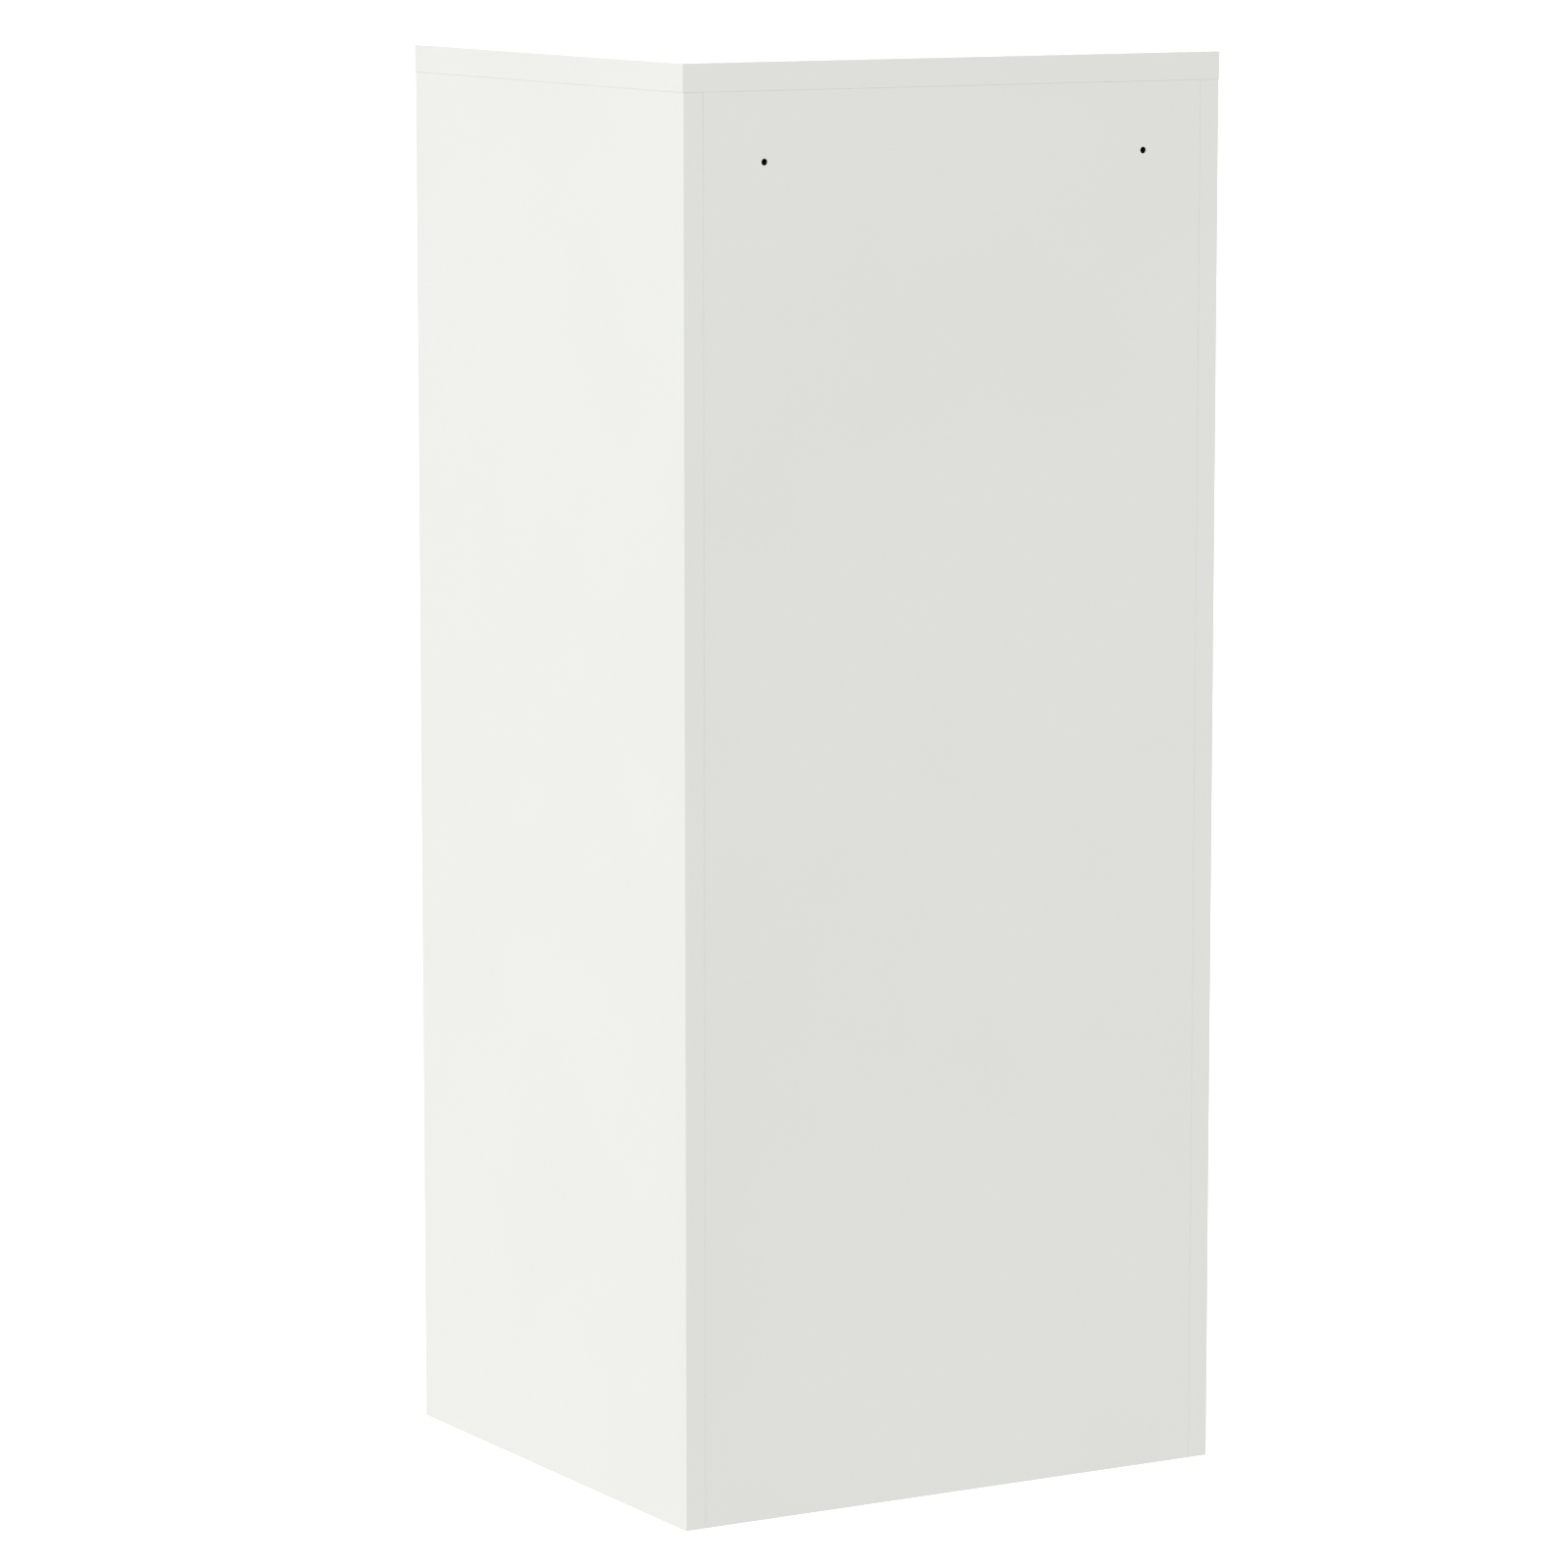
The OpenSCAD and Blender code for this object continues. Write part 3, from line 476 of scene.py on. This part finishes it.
# Uncoated card: off-white with faint fibres, and two fine grey rules printed to write on.
card_stock, tree, shader, place = new_finish("uncoated_card")
set_shader(shader, Roughness=0.85, IOR=1.45, Specular_IOR_Level=0.3)
fibres = add(tree, "ShaderNodeTexNoise",
             {"Vector": place, "Scale": 1 / fibre_size, "Detail": 5.0, "Distortion": 1.5})
pulp = add(tree, "ShaderNodeValToRGB", {"Fac": fibres.outputs["Fac"]})
pulp.color_ramp.elements[0].color = linear("#ebe8dc")
pulp.color_ramp.elements[1].color = linear("#f6f4ec")
spot = add(tree, "ShaderNodeSeparateXYZ",
           {"Vector": add(tree, "ShaderNodeTexCoord").outputs["Generated"]})
repeat = add(tree, "ShaderNodeMath", {0: spot.outputs["Z"], 1: 1 / rule_spacing}, operation="MULTIPLY")
phase = add(tree, "ShaderNodeMath", {0: repeat.outputs[0]}, operation="FRACT")
rule = add(tree, "ShaderNodeMath", {0: phase.outputs[0], 1: rule_width}, operation="LESS_THAN")
printed = add(tree, "ShaderNodeMix",
              {"Factor": rule.outputs[0], 6: pulp.outputs["Color"], 7: linear("#a9adb2")}, data_type="RGBA")
tree.links.new(printed.outputs[2], shader.inputs["Base Color"])

# Clear PVC: nearly invisible, with a sharp gloss that lies over the card.
clear_cover, tree, shader, place = new_finish("clear_pvc")
set_shader(shader, Base_Color=linear("#eef2f3"), Alpha=0.22, IOR=1.53)
ripple = add(tree, "ShaderNodeTexNoise", {"Vector": place, "Scale": 1 / ripple_size, "Detail": 1.0})
polish = add(tree, "ShaderNodeMapRange", {"Value": ripple.outputs["Fac"], "To Min": 0.05, "To Max": 0.12})
tree.links.new(polish.outputs["Result"], shader.inputs["Roughness"])


def slip(name, low, high, back, thickness, notch_r, finish, stands_for):
    """A thin slip with round corners, as wide and high as a box. A notch_r cuts a thumb notch in its top."""
    centre = (low + high) / 2
    half_w, half_h = (high.x - low.x) / 2 - slip_play, (high.z - low.z) / 2 - slip_play
    outline = []
    for turn, sx, sz in ((0, 1, 1), (90, -1, 1), (180, -1, -1), (270, 1, -1)):
        for step in range(7):
            a = math.radians(turn + 15 * step)
            outline.append((sx * (half_w - slip_corner) + slip_corner * math.cos(a),
                            sz * (half_h - slip_corner) + slip_corner * math.sin(a)))
        if turn == 0 and notch_r:
            outline += [(notch_r * math.cos(a), half_h - 0.5 * notch_r * math.sin(a))
                        for a in (math.radians(15 * i) for i in range(13))]
    verts = [Vector((centre.x + x, y, centre.z + z)) for y in (back, back - thickness) for x, z in outline]
    n = len(outline)
    faces = [[i, (i + 1) % n, n + (i + 1) % n, n + i] for i in range(n)]
    faces += [list(range(n)), list(range(n, 2 * n))]
    make_piece(name, [(verts, faces)], [Matrix()], finish, name.split("_")[0] + "_door", stands_for)


blind_side = [(0, -2.2 * mm), (1.2 * mm, -2.2 * mm), (2.15 * mm, -1.9 * mm), (2.4 * mm, -1.45 * mm),
              (2.2 * mm, -0.95 * mm), (1.6 * mm, -door_sheet), (1.6 * mm, 0.6 * mm)]
rivet_head = [(2.9 * mm, 0.6 * mm), (rivet_head_r, 0.72 * mm), (2.8 * mm, 1.05 * mm), (2.2 * mm, 1.4 * mm),
              (1.4 * mm, 1.64 * mm)]
mandrel_end = [(0.95 * mm, 1.7 * mm), (0.8 * mm, 1.6 * mm), (0.75 * mm, 1.0 * mm), (0, 0.95 * mm)]
rivet = turned(blind_side + rivet_head + mandrel_end)
door_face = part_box("side_panel_right")[0].y
for tier in tiers:
    coat(nickel_plate, f"{tier}_card_frame")
    soften(f"{tier}_card_frame", frame_edge)
    low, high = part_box(f"{tier}_card")
    slip(f"{tier}_name_card", low, high, door_face - card_back, card_h, 0, card_stock, f"{tier}_card")
    slip(f"{tier}_clear_slip", low, high, door_face - cover_back, cover_h, thumb_r, clear_cover,
         f"{tier}_card_cover")
    low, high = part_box(f"{tier}_card_rivets")
    rivet_places = [Matrix.Translation((x, door_face, (low.z + high.z) / 2)) @ towards_door
                    for x in (low.x + rivet_head_r, high.x - rivet_head_r)]
    make_piece(f"{tier}_blind_rivets", [rivet], rivet_places, nickel_plate, f"{tier}_door",
               f"{tier}_card_rivets")


# ---- Cam locks: barrel, nut, plug, cam and screw ----
# A threaded barrel with two flats, die cast and nickel plated, held behind the door by a hexagon nut.
# The plug turns in it and carries a stamped cam on its square tail, held by a hexagon-headed screw.

rim_r = 11.5 * mm
rim_h = 1.8 * mm
barrel_r = 9 * mm
barrel_half_flats = 8 * mm
barrel_bore_r = 6.55 * mm
plug_seat_r = 7.55 * mm
plug_seat_h = 1.25 * mm
barrel_pitch = 1 * mm
barrel_thread = 0.5 * mm
nut_across = 22 * mm
nut_h = 4 * mm
bolt_washer_r = 6 * mm
bolt_washer_h = 0.8 * mm
bolt_head_r = 4 * mm
bolt_head_h = 2.4 * mm
bolt_shank_r = 2 * mm
bolt_shank_h = 5 * mm
plug_edge = 0.2 * mm
cam_edge = 0.25 * mm
fine_turning = 96
rings_per_turn = 6


def barrel_shape(angle, r, z):
    """Cuts the thread and the two flats into the barrel behind its rim."""
    if z <= 0 or r <= plug_seat_r:
        return r, z
    r -= thread_depth(angle, z, barrel_pitch, barrel_thread)
    return min(r, barrel_half_flats / max(abs(math.sin(angle)), 0.01)), z


def hexagon(half_across):
    """A warp for turned() that cuts everything outside a hexagon away, given half its width across flats."""
    def warp(angle, r, z):
        if r < half_across:
            return r, z
        from_flat = (angle + math.pi / 6) % (math.pi / 3) - math.pi / 6
        return min(r, half_across / math.cos(from_flat)), z
    return warp


def bolt_shape(angle, r, z):
    """Makes the cam bolt's head a hexagon and leaves its washer and shank round."""
    if z < bolt_washer_h:
        return r, z
    return hexagon(bolt_head_r * math.cos(math.pi / 6))(angle, r, z)


into_cabinet = Matrix.Rotation(-math.pi / 2, 4, "X")
for tier in tiers:
    low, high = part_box(f"{tier}_lock_barrel")
    lock_place = Matrix.Translation(((low.x + high.x) / 2, door_face, (low.z + high.z) / 2)) @ into_cabinet
    barrel_len = high.y - door_face
    turns = round(barrel_len / barrel_pitch * rings_per_turn)
    seat = [(barrel_bore_r, plug_seat_h - rim_h), (plug_seat_r, plug_seat_h - rim_h), (plug_seat_r, -rim_h)]
    rim = [(rim_r - 1.0 * mm, -rim_h), (rim_r - 0.3 * mm, -0.75 * rim_h), (rim_r, -0.45 * rim_h),
           (rim_r, -0.1 * mm), (rim_r - 0.1 * mm, 0), (barrel_r, 0)]
    thread = [(barrel_r, barrel_len * (0.002 + 0.998 * i / turns)) for i in range(turns + 1)]
    bore = [(barrel_bore_r, barrel_len), (barrel_bore_r, plug_seat_h - rim_h)]
    barrel = turned(seat + rim + thread + bore, fine_turning, barrel_shape)
    make_piece(f"{tier}_threaded_barrel", [barrel], [lock_place], nickel_plate, f"{tier}_door",
               f"{tier}_lock_barrel")

    corner = nut_across / 2 / math.cos(math.pi / 6)
    nut = turned([(barrel_r, 0.8 * mm), (0.97 * nut_across / 2, 0.8 * mm), (corner, 1.5 * mm),
                  (corner, nut_h + 0.1 * mm), (0.97 * nut_across / 2, nut_h + 0.8 * mm),
                  (barrel_r + 0.5 * mm, nut_h + 0.8 * mm), (barrel_r, nut_h + 0.3 * mm),
                  (barrel_r, 0.8 * mm)],
                 fine_turning, hexagon(nut_across / 2))
    make_piece(f"{tier}_hexagon_nut", [nut], [lock_place], zinc_plate, f"{tier}_door",
               f"{tier}_lock_nut")

    coat(nickel_plate, f"{tier}_lock_plug")
    soften(f"{tier}_lock_plug", plug_edge)
    coat(zinc_plate, f"{tier}_lock_cam")
    soften(f"{tier}_lock_cam", cam_edge)

    bolt_shank = [(0, -bolt_shank_h), (bolt_shank_r - 0.3 * mm, -bolt_shank_h),
                  (bolt_shank_r, 0.3 * mm - bolt_shank_h), (bolt_shank_r, 0)]
    bolt_washer = [(bolt_washer_r - 0.1 * mm, 0), (bolt_washer_r, 0.1 * mm),
                   (bolt_washer_r, bolt_washer_h - 0.2 * mm), (bolt_washer_r - 0.3 * mm, bolt_washer_h)]
    bolt_top = bolt_washer_h + bolt_head_h
    bolt_head = [(bolt_head_r, bolt_washer_h), (bolt_head_r, bolt_top - 0.5 * mm),
                 (0.8 * bolt_head_r, bolt_top), (0.6 * bolt_head_r, bolt_top),
                 (0.5 * bolt_head_r, bolt_top - 0.3 * mm), (0, bolt_top - 0.4 * mm)]
    bolt = turned(bolt_shank + bolt_washer + bolt_head, warp=bolt_shape)
    bolt_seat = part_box(f"{tier}_lock_cam")[1].y
    bolt_place = Matrix.Translation((0, bolt_seat - door_face, 0)) @ lock_place
    make_piece(f"{tier}_cam_bolt", [bolt], [bolt_place], zinc_plate, f"{tier}_lock",
               f"{tier}_cam_screw")


# ---- Keys: nickel-plated brass ----
# One flat key stands in each lock. Stamped from strip, with its bitting milled along one edge.

key_edge = 0.25 * mm

for tier in tiers:
    coat(nickel_plate, f"{tier}_key")
    soften(f"{tier}_key", key_edge)
